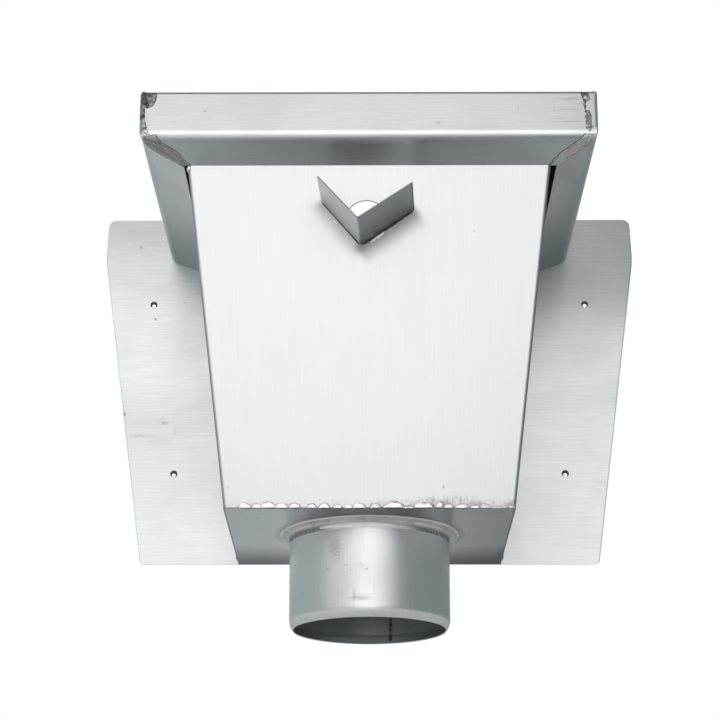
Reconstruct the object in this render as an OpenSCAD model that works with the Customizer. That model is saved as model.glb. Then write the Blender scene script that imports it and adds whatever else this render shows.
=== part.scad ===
// Downpipe hopper head: a soldered zinc-sheet box that is screwed to a wall and feeds a round downpipe.
// The wall is the plane y = 0 and the front faces -Y. The middle of the fixing holes is at x = 0, z = 0.

/* [Sheet] */
// Thickness of the zinc sheet
sheet_t = 0.8; // [0.6:0.05:1.2]
// Inside radius of the folds, apart from the one under the rim's band
fold_r = 1.2; // [0.6:0.1:2.4]

/* [Body] */
// Height from the underside of the floor to the top of the rim
head_h = 240; // [200:1:320]
// Outside width of the body at its upper edge
mouth_w = 225; // [190:1:260]
// Distance from the wall to the front of the body at its upper edge
mouth_d = 199; // [175:1:240]
// Outside width of the body at the floor
floor_w = 171; // [140:1:210]
// Distance from the wall to the front of the body at the floor
floor_d = 158; // [147:1:185]

/* [Rim] */
// How far the rim stands out from the sides of the body's upper edge
rim_side_out = 22.5; // [14:0.5:40]
// How far the rim stands out from the front of the body's upper edge
rim_front_out = 16; // [8:0.5:40]
// Height of the rim's upright band
band_h = 30; // [15:1:50]
// Fall of the rim's underside from the band to the body
soffit_fall = 8.5; // [2:0.5:16]
// Inside radius of the fold under the rim's band
band_fold_r = 7.2; // [0.6:0.1:10]
// Gap between the underside of the rim and the left side of the body
left_gap = 2.2; // [1:0.1:8]
// Gap between the underside of the rim and the right side of the body
right_gap = 3.7; // [1:0.1:8]
// Length of the lap that the left band turns onto the front band, at its upper end
left_lap_top_l = 1; // [0.5:0.5:20]
// Length of the left lap at its lower end
left_lap_foot_l = 2.5; // [0.5:0.5:20]
// Length of the lap that the right band turns onto the front band, at its upper end
right_lap_top_l = 7; // [0.5:0.5:20]
// Length of the right lap at its lower end
right_lap_foot_l = 5; // [0.5:0.5:20]
// Least straight part of the band between a fold and the end of its corner notch
notch_clear = 1; // [0.6:0.1:4]

/* [Wall plate] */
// Width of the plate at its lower edge
plate_bottom_w = 300; // [260:1:340]
// Width of the plate level with the lower edge of the rim's band
plate_shoulder_w = 358; // [330:1:400]
// Width of the plate at its upper edge
plate_top_w = 356; // [330:1:400]
// Radius of the plate's lower corners
plate_bottom_r = 3; // [1:0.5:15]
// Radius of the plate's shoulders
plate_shoulder_r = 60; // [10:1:120]
// Radius of the plate's upper corners
plate_top_r = 5; // [1:0.5:12]
// Diameter of the fixing holes
hole_d = 4.5; // [3:0.1:8]
// Distance from the plate's side edge to the fixing holes
hole_inset = 29; // [12:0.5:34]
// Height of the fixing holes above and below the middle of the plate
hole_rise = 59; // [30:1:75]

/* [Outlet] */
// Outside diameter of the outlet
outlet_d = 98; // [70:1:110]
// Distance from the wall to the outlet's axis
outlet_y = 88; // [68:1:98]
// Length of the outlet below the floor
outlet_l = 59.5; // [30:0.5:120]
// Radius of the flare that turns the outlet out under the floor
flare_r = 3.5; // [1:0.1:6]
// Width of the flat lip beyond the flare
lip_w = 1.9; // [1:0.1:5]
// Length of the drawn-in end of the outlet
neck_l = 6.5; // [3:0.5:15]
// How far the outlet's end is drawn in
neck_in = 2.4; // [1:0.1:3]

/* [Overflow] */
// Diameter of the overflow hole
overflow_d = 25; // [12:0.5:34]
// Distance of the overflow hole's middle below the inner edge of the rim's underside
overflow_drop = 33.5; // [20:0.5:90]
// Distance of the overflow hole's middle to the left of the body's middle
overflow_shift = 1.5; // [-6:0.1:6]
// Length of the spout along its fold
spout_l = 45; // [25:1:80]
// Width of the spout's left wing
spout_left_w = 35; // [20:0.5:40]
// Width of the spout's right wing
spout_right_w = 38.5; // [20:0.5:40]
// Angle between the spout's wings
spout_angle = 98; // [70:1:130]
// Tilt of the spout to the right
spout_tilt = 7.4; // [-15:0.2:15]
// Turn of the spout's tip to the left
spout_turn = 2.4; // [-10:0.2:10]
// Distance of the spout's fold to the left of the hole's middle
spout_shift = 3.5; // [0:0.1:8]
// Distance of the spout's fold below the edge of the hole
spout_clear = 1.9; // [0.5:0.1:6]

/* [Hidden] */
$fn = 96;
zinc = "#c5c8ca";
// overshoot of cutters, and number of flats in a fold and in the wide fold under the rim's band
over = 1;
arc_steps = 8;
band_fold_steps = 16;

// heights
bottom_z = -head_h/2;
top_z = head_h/2;
wall_z0 = bottom_z + sheet_t;
wall_z1 = top_z - sheet_t;
band_z = top_z - band_h;
soffit_z = band_z - soffit_fall;
overflow_z = soffit_z - overflow_drop;

// outside radii of the folds
outer_r = fold_r + sheet_t;
band_outer_r = band_fold_r + sheet_t;

// the body's walls lean outwards from the floor to the mouth
wall_h = wall_z1 - wall_z0;
front_lean = atan((mouth_d - floor_d)/wall_h);
function lift(z) = (z - wall_z0)/wall_h;
function body_half_w(z) = (floor_w + (mouth_w - floor_w)*lift(z))/2;
function body_depth(z) = floor_d + (mouth_d - floor_d)*lift(z);

// rim: outer faces, and the inner edges of its underside and its top
rim_half = mouth_w/2 + rim_side_out;
rim_d = mouth_d + rim_front_out;
front_face = rim_d - sheet_t;
left_soffit_x = body_half_w(soffit_z) + left_gap;
right_soffit_x = body_half_w(soffit_z) + right_gap;
soffit_y = body_depth(soffit_z);
top_x = mouth_w/2 - sheet_t;
top_y = mouth_d - sheet_t;

// the wide fold ends highest on the strip with the flattest underside
soffit_run = max(rim_half - min(left_soffit_x, right_soffit_x), front_face - soffit_y);
band_fold_h = band_outer_r*tan(45 - atan(soffit_fall/soffit_run)/2);

// notches that free the rim's corners beside its folds
lower_notch_z = band_z + band_fold_h + notch_clear;
upper_notch_z = top_z - outer_r - notch_clear;
strip_overlap = notch_clear/2;

// slanting end of a right-hand lap at height z
function lap_end(z, top_l, foot_l) =
    let (rise = (z - lower_notch_z)/(upper_notch_z - lower_notch_z))
    rim_half - outer_r - foot_l - (top_l - foot_l)*rise;

// wall plate: half width of its tapered part
function plate_half_w(z) =
    (plate_bottom_w + (plate_shoulder_w - plate_bottom_w)*(z - bottom_z)/(band_z - bottom_z))/2;

// outlet
outlet_r = outlet_d/2;
bore_r = outlet_r - sheet_t;
neck_r = (neck_l*neck_l + neck_in*neck_in)/(2*neck_in);
neck_angle = 2*atan(neck_in/neck_l);

// plane geometry
function unit(v) = v/norm(v);
function left_of(d) = [-d[1], d[0]];
function turn(a, b) = atan2(cross(a, b), a*b);
function reversed(v) = [for (i = [len(v) - 1:-1:0]) v[i]];

// arc about c from angle a0 to angle a1
function arc(c, r, a0, a1, steps = arc_steps) =
    [for (i = [0:steps]) let (a = a0 + (a1 - a0)*i/steps) c + r*[cos(a), sin(a)]];

// corner at b, rounded to r between its neighbours a and c; drawn at another radius about the same centre
function corner(a, b, c, r, drawn_r, steps = arc_steps) =
    let (d0 = unit(b - a))
    let (bend = turn(d0, unit(c - b)))
    let (start = b - r*tan(abs(bend)/2)*d0)
    let (centre = start + sign(bend)*r*left_of(d0))
    let (a0 = atan2(start[1] - centre[1], start[0] - centre[0]))
    arc(centre, drawn_r, a0, a0 + bend, steps);

// closed outline with each corner rounded to its own radius
function rounded(points, radii) =
    let (n = len(points))
    [for (i = [0:n - 1])
        each corner(points[(i + n - 1) % n], points[i], points[(i + 1) % n], radii[i], radii[i])];

// section of a folded sheet: the path is its outer face, which turns left at every fold
function folds(path, outside_r, drawn_r, steps) =
    [for (i = [1:len(path) - 2]) each corner(path[i - 1], path[i], path[i + 1], outside_r, drawn_r, steps)];
function sheet_section(path, inside_r = fold_r, steps = arc_steps) =
    let (last = len(path) - 1)
    let (outside_r = inside_r + sheet_t)
    let (first_in = sheet_t*left_of(unit(path[1] - path[0])))
    let (last_in = sheet_t*left_of(unit(path[last] - path[last - 1])))
    concat([path[0]], folds(path, outside_r, outside_r, steps), [path[last]], [path[last] + last_in],
           reversed(folds(path, outside_r, inside_r, steps)), [path[0] + first_in]);

// outline of the body at height z, set in by one sheet for its inside, from a rear edge at y
function body_outline(z, inset, rear) =
    let (x = body_half_w(z) - inset)
    let (y = inset - body_depth(z))
    let (r = outer_r - inset)
    concat([[x, rear]], [[-x, rear]],
           corner([-x, rear], [-x, y], [x, y], r, r), corner([-x, y], [x, y], [x, rear], r, r));

// solid between two outlines of the body
module body_taper(z0, z1, inset, rear) {
    lower = body_outline(z0, inset, rear);
    upper = body_outline(z1, inset, rear);
    n = len(lower);
    points = concat([for (p = lower) [p[0], p[1], z0]], [for (p = upper) [p[0], p[1], z1]]);
    sides = [for (i = [0:n - 1]) [i, n + i, n + (i + 1) % n, (i + 1) % n]];
    polyhedron(points, concat([[for (i = [0:n - 1]) i]], [[for (i = [n - 1:-1:0]) n + i]], sides));
}

// frame on the front panel: its outer face is the plane y = 0, z runs up the panel
module on_front_panel(z) {
    translate([0, -body_depth(z), z]) rotate([front_lean, 0, 0]) children();
}

// everything behind the outer face of the front panel
module behind_front_panel() {
    on_front_panel(0) translate([-rim_half, 0, -head_h]) cube([2*rim_half, rim_d, 2*head_h]);
}

// sheet section swept across the front, or along the right side from the wall to the front
module across_front(section) {
    rotate([90, 0, -90]) linear_extrude(2*rim_half, center = true) polygon(section);
}
module along_side(section) {
    rotate([90, 0, 0]) linear_extrude(rim_d) polygon(section);
}

// upright prisms that mitre a strip of the rim between its outer corners and inner corners at depth y
module front_mitre(left_x, right_x, y) {
    translate([0, 0, bottom_z]) linear_extrude(head_h)
        polygon([[-rim_half, -rim_d], [rim_half, -rim_d], [right_x, -y], [-left_x, -y]]);
}
module side_mitre(x, y) {
    rim_corner = corner([0, -rim_d], [rim_half, -rim_d], [rim_half, 0], outer_r, outer_r);
    translate([0, 0, bottom_z]) linear_extrude(head_h) intersection() {
        polygon([[x, -sheet_t], [x, -y], [rim_half, -rim_d], [rim_half, -sheet_t]]);
        polygon(concat([[0, -rim_d]], rim_corner, [[rim_half, 0]], [[0, 0]]));
    }
}

// folded edges of a rim strip with its band at face and its inner edge at inner: the underside,
// with the band above it up to a height, and the top, with the band below it down to a height
function soffit_section(face, inner, band_end_z) =
    let (edge = [inner, soffit_z])
    let (fold = [face, band_z])
    let (path = [edge - sheet_t*unit(fold - edge), fold, [face, band_end_z]])
    sheet_section(path, band_fold_r, band_fold_steps);
function top_section(face, inner, band_end_z) =
    sheet_section([[face, band_end_z], [face, top_z], [inner, top_z]]);

module wall_plate() {
    right = [[plate_bottom_w/2, bottom_z], [plate_shoulder_w/2, band_z], [plate_top_w/2, top_z]];
    left = [for (p = reversed(right)) [-p[0], p[1]]];
    radii = [plate_bottom_r, plate_shoulder_r, plate_top_r];
    color(zinc) difference() {
        rotate([90, 0, 0]) linear_extrude(sheet_t)
            polygon(rounded(concat(right, left), concat(radii, reversed(radii))));
        for (side = [-1, 1], row = [-1, 1])
            translate([side*(plate_half_w(row*hole_rise) - hole_inset), over, row*hole_rise])
                rotate([90, 0, 0]) cylinder(h = sheet_t + 2*over, d = hole_d);
    }
}

// front and both sides, folded from one sheet
module body_shell() {
    color(zinc) difference() {
        body_taper(wall_z0, wall_z1, 0, -sheet_t);
        body_taper(wall_z0 - over, wall_z1 + over, sheet_t, over);
        on_front_panel(overflow_z) translate([-overflow_shift, 0, 0]) rotate([90, 0, 0])
            cylinder(h = 4*over + 2*sheet_t, d = overflow_d, center = true);
    }
}

module floor_plate() {
    color(zinc) difference() {
        translate([0, 0, bottom_z]) linear_extrude(sheet_t) polygon(body_outline(wall_z0, 0, -sheet_t));
        translate([0, -outlet_y, bottom_z - over]) cylinder(h = sheet_t + 2*over, r = bore_r);
    }
}

// hollow rim: the front strip lies behind the laps of the side strips
module rim_front() {
    band_half = rim_half - outer_r;
    band_z0 = lower_notch_z - strip_overlap;
    band_z1 = upper_notch_z + strip_overlap;
    color(zinc) union() {
        difference() {
            intersection() {
                across_front(soffit_section(front_face, soffit_y, lower_notch_z));
                front_mitre(left_soffit_x, right_soffit_x, soffit_y);
            }
            behind_front_panel();
        }
        translate([-band_half, -front_face, band_z0]) cube([2*band_half, sheet_t, band_z1 - band_z0]);
        intersection() {
            across_front(top_section(front_face, top_y, upper_notch_z));
            front_mitre(top_x, top_x, top_y);
        }
    }
}

// everything to the right of the slanting end of a right-hand lap
module right_of_lap_end(top_l, foot_l) {
    z0 = lower_notch_z - over;
    z1 = upper_notch_z + over;
    x1 = rim_half + over;
    outline = [[lap_end(z0, top_l, foot_l), z0], [x1, z0], [x1, z1], [lap_end(z1, top_l, foot_l), z1]];
    rotate([90, 0, 0]) linear_extrude(rim_d + over) polygon(outline);
}

// right-hand strip, or its mirror image on the left: the inner edge of its underside is at x = soffit_x,
// and its lap is top_l long at its upper end and foot_l long at its lower end
module rim_side(soffit_x, top_l, foot_l) {
    lap_start = rim_half - outer_r - max(top_l, foot_l) - over;
    union() {
        intersection() {
            along_side(soffit_section(rim_half, soffit_x, lower_notch_z + strip_overlap));
            side_mitre(soffit_x, soffit_y);
        }
        intersection() {
            translate([0, 0, lower_notch_z]) linear_extrude(upper_notch_z - lower_notch_z)
                polygon(sheet_section([[lap_start, -rim_d], [rim_half, -rim_d], [rim_half, -sheet_t]]));
            right_of_lap_end(top_l, foot_l);
        }
        intersection() {
            along_side(top_section(rim_half, top_x, upper_notch_z - strip_overlap));
            side_mitre(top_x, top_y);
        }
    }
}

module rim_left() {
    color(zinc) mirror([1, 0, 0]) rim_side(left_soffit_x, left_lap_top_l, left_lap_foot_l);
}

module rim_right() {
    color(zinc) rim_side(right_soffit_x, right_lap_top_l, right_lap_foot_l);
}

// pipe flared out against the underside of the floor and drawn in at its lower end
module outlet_spigot() {
    flare = [outlet_r + flare_r, -sheet_t - flare_r];
    neck = [outlet_r - neck_r, neck_l - outlet_l];
    lip = outlet_r + flare_r + lip_w;
    outside = concat([[lip, -sheet_t]], arc(flare, flare_r, 90, 180), arc(neck, neck_r, 0, -neck_angle));
    inside = concat(arc(neck, neck_r - sheet_t, -neck_angle, 0), arc(flare, flare_r + sheet_t, 180, 90),
                    [[lip, 0]]);
    color(zinc) translate([0, -outlet_y, bottom_z]) rotate_extrude() polygon(concat(outside, inside));
}

// strip folded to a V below the overflow hole, cut to stand on the leaning panel
module overflow_spout() {
    fold = [-overflow_shift - spout_shift, overflow_z - overflow_d/2 - spout_clear];
    left_angle = 90 + spout_angle/2 - spout_tilt;
    right_angle = 90 - spout_angle/2 - spout_tilt;
    left_edge = fold + spout_left_w*[cos(left_angle), sin(left_angle)];
    right_edge = fold + spout_right_w*[cos(right_angle), sin(right_angle)];
    root = [fold[0], -body_depth(fold[1]), 0];
    color(zinc) difference() {
        translate(root) rotate([0, 0, -spout_turn]) translate([-root[0], 0, 0])
            rotate([90, 0, 0]) translate([0, 0, -mouth_d/2]) linear_extrude(mouth_d/2 + spout_l)
                polygon(sheet_section([left_edge, fold, right_edge]));
        behind_front_panel();
    }
}

wall_plate();
body_shell();
floor_plate();
rim_front();
rim_left();
rim_right();
outlet_spigot();
overflow_spout();
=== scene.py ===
import math

import bmesh
import bpy
from mathutils import Matrix, Vector, noise


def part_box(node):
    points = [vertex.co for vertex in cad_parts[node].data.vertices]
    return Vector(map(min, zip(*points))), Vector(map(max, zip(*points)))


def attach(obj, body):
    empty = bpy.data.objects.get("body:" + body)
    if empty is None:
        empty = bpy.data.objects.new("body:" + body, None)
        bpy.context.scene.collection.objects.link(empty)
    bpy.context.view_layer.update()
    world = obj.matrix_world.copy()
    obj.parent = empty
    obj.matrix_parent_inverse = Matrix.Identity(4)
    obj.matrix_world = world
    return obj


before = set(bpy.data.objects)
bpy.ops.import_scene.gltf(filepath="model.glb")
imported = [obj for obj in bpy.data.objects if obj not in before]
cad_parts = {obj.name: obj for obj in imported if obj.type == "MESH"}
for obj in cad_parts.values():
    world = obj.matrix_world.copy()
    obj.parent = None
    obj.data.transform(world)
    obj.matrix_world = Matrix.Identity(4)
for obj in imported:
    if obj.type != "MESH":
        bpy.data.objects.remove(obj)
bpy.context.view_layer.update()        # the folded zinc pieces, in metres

MM = 0.001
LEFT = -1
RIGHT = 1
HANDS = {LEFT: "left", RIGHT: "right"}
X = Vector((1, 0, 0))
Y = Vector((0, 1, 0))
Z = Vector((0, 0, 1))

# Sizes of the head, read from its folded pieces
plate_low, plate_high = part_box("wall_plate")
shell_low, shell_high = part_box("body_shell")
floor_low, floor_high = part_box("floor_plate")
rim_low, rim_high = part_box("rim_right")
front_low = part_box("rim_front")[0]
outlet_low, outlet_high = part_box("outlet_spigot")

SHEET = plate_high.y - plate_low.y
PLATE_FACE = plate_low.y
FLOOR_UNDER = floor_low.z
FLOOR_FRONT = floor_low.y
FLOOR_HALF_W = floor_high.x
MOUTH_FRONT = shell_low.y
MOUTH_HALF_W = shell_high.x
WALL_FOOT = shell_low.z
WALL_HEAD = shell_high.z
RIM_HALF_W = rim_high.x
RIM_FRONT = rim_low.y
RIM_FACE = front_low.y
RIM_TOP = rim_high.z
SOFFIT_LOW = rim_low.z
OUTLET_Y = (outlet_low.y + outlet_high.y) / 2
OUTLET_END = outlet_low.z
FLARE_LIP = outlet_high.x

# Sizes inside those boxes
BAND_LOW = RIM_TOP - 30 * MM
BAND_FOLD_R = 8.0 * MM
BAND_FOLD_RISE = 0.69 * BAND_FOLD_R
SOFFIT_FRONT_EDGE = -192.5 * MM
SOFFIT_SIDE_EDGE = {LEFT: 110.4 * MM, RIGHT: 111.9 * MM}
CORNER_R = 2.0 * MM
LAP_HEAD = 117.0 * MM
LAP_FOOT = 96.7 * MM
LAP_SLOPE = 0.9 * MM
LAP_ENDS = {LEFT: (132.0 * MM, 130.5 * MM), RIGHT: (126.0 * MM, 128.0 * MM)}
OUTLET_R = 49 * MM
FLARE_R = 3.5 * MM
FLARE_FOOT = FLOOR_UNDER - SHEET - FLARE_R
NECK_LENGTH = 6.5 * MM
NECK_IN = 2.4 * MM
NECK_HEAD = OUTLET_END + NECK_LENGTH
OVERFLOW_R = 12.5 * MM
OVERFLOW_X = -1.5 * MM
OVERFLOW_Z = 48 * MM
SPOUT_FOLD = (-5.0 * MM, 33.6 * MM)
SPOUT_EDGE = {LEFT: (-28.4 * MM, 59.8 * MM), RIGHT: (26.9 * MM, 54.9 * MM)}
SPOUT_LENGTH = 45 * MM
SPOUT_TURN = math.radians(2.4)
PLATE_FOOT_HALF_W = 150 * MM
PLATE_SHOULDER_HALF_W = 179 * MM
FIXING_HOLES = [(x * MM, z * MM) for x, z in ((-145.7, 59), (145.7, 59), (-129.4, -59), (129.4, -59))]
FIXING_HOLE_R = 2.25 * MM

# Tones of the metal, as light colours
ZINC_LIGHT = (0.845, 0.852, 0.850, 1)
ZINC_DARK = (0.745, 0.757, 0.757, 1)
HANDLING = (0.60, 0.605, 0.61, 1)
# Dark smudge colour for real marks, also used for painted shade and painted dark reflections
SMUDGE_AND_SHADE = (0.16, 0.16, 0.17, 1)
FLUX = (0.47, 0.43, 0.45, 1)
# Burnt flux colour, also used for painted shade and a painted dark reflection
BURNT_FLUX_AND_SHADE = (0.10, 0.09, 0.10, 1)
# Cool dark colour of painted shade
PAINTED_COOL_SHADE = (0.10, 0.175, 0.17, 1)
RING_DARK = (0.58, 0.54, 0.545, 1)
RING_LIGHT = (0.74, 0.70, 0.69, 1)
RING_PATCH = (0.44, 0.40, 0.41, 1)


# Places on the head

def panel_front(z):
    """Where the leaning front panel's face is at a height."""
    return FLOOR_FRONT + (MOUTH_FRONT - FLOOR_FRONT) * (z - WALL_FOOT) / (WALL_HEAD - WALL_FOOT)


def wall_half_width(z):
    """Half the body's width at a height."""
    return FLOOR_HALF_W + (MOUTH_HALF_W - FLOOR_HALF_W) * (z - WALL_FOOT) / (WALL_HEAD - WALL_FOOT)


PANEL_UP = Vector((0, MOUTH_FRONT - FLOOR_FRONT, WALL_HEAD - WALL_FOOT)).normalized()
PANEL_OUT = X.cross(PANEL_UP)
ON_PANEL = Matrix((X, PANEL_OUT, PANEL_UP)).transposed()
PANEL_LEAN = math.atan2(PANEL_UP.y, PANEL_UP.z)


def on_panel(x, z):
    """A place on the front panel's face."""
    return Vector((x, panel_front(z), z))


def on_plate(x, z):
    """A place on the wall plate's face."""
    return Vector((x, PLATE_FACE, z))


def on_band(x, z):
    """A place on the face of the rim's front band."""
    return Vector((x, RIM_FACE, z))


def on_outlet(x, z):
    """A place on the front of the outlet's pipe."""
    return Vector((x, OUTLET_Y - math.sqrt(OUTLET_R ** 2 - x ** 2), z))


def under_floor(x, y):
    """A place on the floor's underside."""
    return Vector((x, y, FLOOR_UNDER))


def lap_end(side, z):
    """Half width of the rim where the lap on a front corner ends, at a height."""
    head, foot = LAP_ENDS[side]
    return foot + (head - foot) * (z - LAP_FOOT) / (LAP_HEAD - LAP_FOOT)


def rim_underside(side, x, y):
    """Height of the rim's underside, with the wide fold under its band."""
    strips = (
        (RIM_HALF_W - SOFFIT_SIDE_EDGE[side], RIM_HALF_W - abs(x)),
        (SOFFIT_FRONT_EDGE - RIM_FACE, y - RIM_FACE),
    )
    run, inside = min(strips, key=lambda strip: strip[1] / strip[0])
    inside = max(0.0, inside)
    slope = math.atan((BAND_LOW - SOFFIT_LOW) / run)
    tangent = BAND_FOLD_R * math.tan(math.pi / 4 - slope / 2)
    if inside < tangent * math.cos(slope):
        return BAND_LOW + tangent - math.sqrt(BAND_FOLD_R ** 2 - (BAND_FOLD_R - inside) ** 2)
    return BAND_LOW - inside * math.tan(slope)


def band_set_in(z):
    """How far the folds above and below the rim's band set its face in, at a height."""
    above = min(CORNER_R, max(0.0, z - (RIM_TOP - CORNER_R)))
    below = min(BAND_FOLD_R, max(0.0, BAND_LOW + BAND_FOLD_RISE - z))
    upper_fold = CORNER_R - math.sqrt(CORNER_R ** 2 - above ** 2)
    lower_fold = BAND_FOLD_R - math.sqrt(BAND_FOLD_R ** 2 - below ** 2)
    return upper_fold + lower_fold


def rim_corner(side, reach, z, lift):
    """A place on a front corner of the rim. The reach starts where the side band ends, and runs over the
    rounded edge, along the lap and down its end onto the front band. The lift stands out from the sheet."""
    arc = CORNER_R * math.pi / 2
    turn = min(max(reach, 0.0), arc) / CORNER_R
    out = Vector((side * math.cos(turn), -math.sin(turn), 0))
    centre = Vector((side * (RIM_HALF_W - CORNER_R), RIM_FRONT + CORNER_R, z))
    place = centre + out * (CORNER_R + lift - band_set_in(z))
    place.y += max(0.0, -reach)
    place.x -= side * max(0.0, reach - arc)
    off_lap = max(lap_end(side, z) - abs(place.x), LAP_FOOT - z, z - LAP_HEAD) / LAP_SLOPE
    place.y += SHEET * math.sin(turn) * min(1.0, max(0.0, off_lap))
    return place


def read_table(table, share):
    """A value that eases from one entry of a table to the next."""
    for (start, low), (end, high) in zip(table, table[1:]):
        if share <= end:
            step = (share - start) / (end - start)
            return low + (high - low) * step * step * (3 - 2 * step)
    return table[-1][1]


# Shader nodes

def put(tree, kind, inputs=None, **settings):
    """Adds a shader node: an input given as a socket is linked, any other is set. Returns its outputs."""
    made = tree.nodes.new("ShaderNode" + kind)
    for name, value in settings.items():
        setattr(made, name, value)
    for socket, value in (inputs or {}).items():
        if isinstance(value, bpy.types.NodeSocket):
            tree.links.new(value, made.inputs[socket])
        else:
            made.inputs[socket].default_value = value
    return made.outputs


def start_finish(name):
    """A new material with an empty tree, and the piece's own coordinates."""
    material = bpy.data.materials.new(name)
    material.use_nodes = True
    tree = material.node_tree
    tree.nodes.clear()
    return material, tree, put(tree, "TexCoord")["Object"]


def end_finish(tree, colour, roughness, normal, metallic=1.0):
    """The metal's shader, fed by its colour, roughness and bump."""
    inputs = {"Base Color": colour, "Roughness": roughness, "Normal": normal, "Metallic": metallic}
    shader = put(tree, "BsdfPrincipled", inputs)
    put(tree, "OutputMaterial", {"Surface": shader["BSDF"]})


def grain(tree, coords, size, detail=3.0):
    """Noise of a size in metres along x, y and z: long one way, it is a rolling streak."""
    steps = put(tree, "Mapping", {"Vector": coords, "Scale": [1 / s for s in size]})["Vector"]
    return put(tree, "TexNoise", {"Vector": steps, "Scale": 1.0, "Detail": detail})["Fac"]


def even_grain(tree, coords, size, detail):
    """Noise of one size in every direction."""
    return grain(tree, coords, (size, size, size), detail)


def map_range(tree, value, limits, **settings):
    """A value's stretch carried onto another. The limits are the ends of both."""
    names = ("From Min", "From Max", "To Min", "To Max")
    return put(tree, "MapRange", {"Value": value, **dict(zip(names, limits))}, **settings)["Result"]


def span(tree, value, low, high, to_low=0.0, to_high=1.0):
    """A value's stretch from low to high, eased onto another stretch."""
    return map_range(tree, value, (low, high, to_low, to_high), interpolation_type="SMOOTHSTEP")


def ramp(tree, value, stretch, onto):
    """A value's stretch carried in a straight line onto another stretch."""
    return map_range(tree, value, (*stretch, *onto))


def between(tree, value, low, high, edge):
    """A mask of 1 where a value lies between two limits."""
    return times(tree, span(tree, value, low - edge, low), span(tree, value, high + edge, high))


def reckon(tree, operation, *values):
    """A sum worked out by a node."""
    return put(tree, "Math", dict(enumerate(values)), operation=operation)["Value"]


def times(tree, a, b):
    """Two masks multiplied."""
    return reckon(tree, "MULTIPLY", a, b)


def minus(tree, a, b):
    """One value taken from another."""
    return reckon(tree, "SUBTRACT", a, b)


def size_of(tree, value):
    """A value without its sign."""
    return reckon(tree, "ABSOLUTE", value)


def parts_of(tree, coords):
    """The x, y and z of the coordinates."""
    return put(tree, "SeparateXYZ", {"Vector": coords})


def paint(tree, mask, under, over):
    """One colour laid over another where the mask is."""
    return put(tree, "Mix", {0: mask, 6: under, 7: over}, data_type="RGBA")[2]


def tone(tree, mask, colour, tint):
    """A colour made darker or lighter by a tint where the mask is."""
    return put(tree, "Mix", {0: mask, 6: colour, 7: tint}, data_type="RGBA", blend_type="MULTIPLY")[2]


def distance_from(tree, coords, centre, axes=(1, 1, 1)):
    """How far a place lies from a centre, along the axes that count."""
    inputs = {"Vector": coords, "Scale": axes, "Location": [-c * a for c, a in zip(centre, axes)]}
    away = put(tree, "Mapping", inputs)["Vector"]
    return put(tree, "VectorMath", {0: away}, operation="LENGTH")["Value"]


def outlet_radius(tree, coords):
    """How far a place lies from the outlet's axis."""
    return distance_from(tree, coords, (0, OUTLET_Y, 0), (1, 1, 0))


def spot(tree, coords, face, place, reach):
    """A mask of 1 at a place on a sheet's face, fading out at its reach along x, y and z. Both are in
    millimetres."""
    centre = face(*[part * MM for part in place])
    away = distance_from(tree, coords, centre, [1 / (r * MM) for r in reach])
    return span(tree, away, 1.0, 0.25)


def bump(tree, height, depth, strength=1.0, under=None):
    """A bump of a depth, over another bump if there is one."""
    inputs = {"Height": height, "Strength": strength, "Distance": depth}
    if under:
        inputs["Normal"] = under
    return put(tree, "Bump", inputs)["Normal"]


# Finishes

CLOUD_SIZE = 45 * MM
WAVE_SIZE = 70 * MM
BREAK_SIZE = 1.1 * MM
FLECK_SIZE = 0.9 * MM
WORKED_DULLNESS = 0.30
WORKED_METAL = 0.65


def zinc_sheet(
        name, streak, face=None, marks=(), scratches=(), contrast=1.0, gloss=0.33, handling=0.16, wave=0.10,
        stains_and_shade=None, worked=None, lean=0.0):
    """Bright rolled zinc: streaks along the rolling direction, cloudy handling, stains and painted shade,
    broken marks and clean scratches. A mark or a scratch is its place on the sheet's face, its reach, both in
    millimetres, and its strength. Where the sheet was worked with a tool, it is duller. The lean tilts the
    streaks with a leaning panel."""
    material, tree, coords = start_finish(name)
    rolled = put(tree, "Mapping", {"Vector": coords, "Rotation": (lean, 0, 0)})["Vector"]
    fine = grain(tree, rolled, streak)
    broad = grain(tree, rolled, [5 * s for s in streak])
    cloud = even_grain(tree, coords, CLOUD_SIZE, 4.0)
    spread = 0.22 / contrast
    shade = span(tree, fine, 0.5 - spread, 0.5 + spread)
    colour = paint(tree, shade, ZINC_DARK, ZINC_LIGHT)
    colour = paint(tree, span(tree, broad, 0.45, 0.75, 0.0, 0.25 * contrast), colour, ZINC_DARK)
    colour = paint(tree, span(tree, cloud, 0.50, 0.72, 0.0, handling), colour, HANDLING)
    if stains_and_shade:
        colour = stains_and_shade(tree, coords, colour)
    if marks:
        broken = span(tree, even_grain(tree, coords, BREAK_SIZE, 2.0), 0.28, 0.70)
    for place, reach, strength in marks:
        mask = times(tree, spot(tree, coords, face, place, reach), broken)
        colour = paint(tree, times(tree, mask, strength), colour, SMUDGE_AND_SHADE)
    for place, reach, strength in scratches:
        mask = spot(tree, coords, face, place, reach)
        colour = paint(tree, times(tree, mask, strength), colour, SMUDGE_AND_SHADE)
    roughness = span(tree, cloud, 0.3, 0.7, gloss - 0.12 * handling, gloss + 0.18 * handling)
    metallic = 1.0
    if worked:
        mask = worked(tree, coords)
        roughness = reckon(tree, "MULTIPLY_ADD", mask, WORKED_DULLNESS, roughness)
        metallic = span(tree, mask, 0.0, 1.0, 1.0, WORKED_METAL)
    flat = bump(tree, even_grain(tree, coords, WAVE_SIZE, 1.0), wave * MM)
    end_finish(tree, colour, roughness, bump(tree, fine, 0.02 * MM, 0.35, flat), metallic)
    return material


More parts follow.
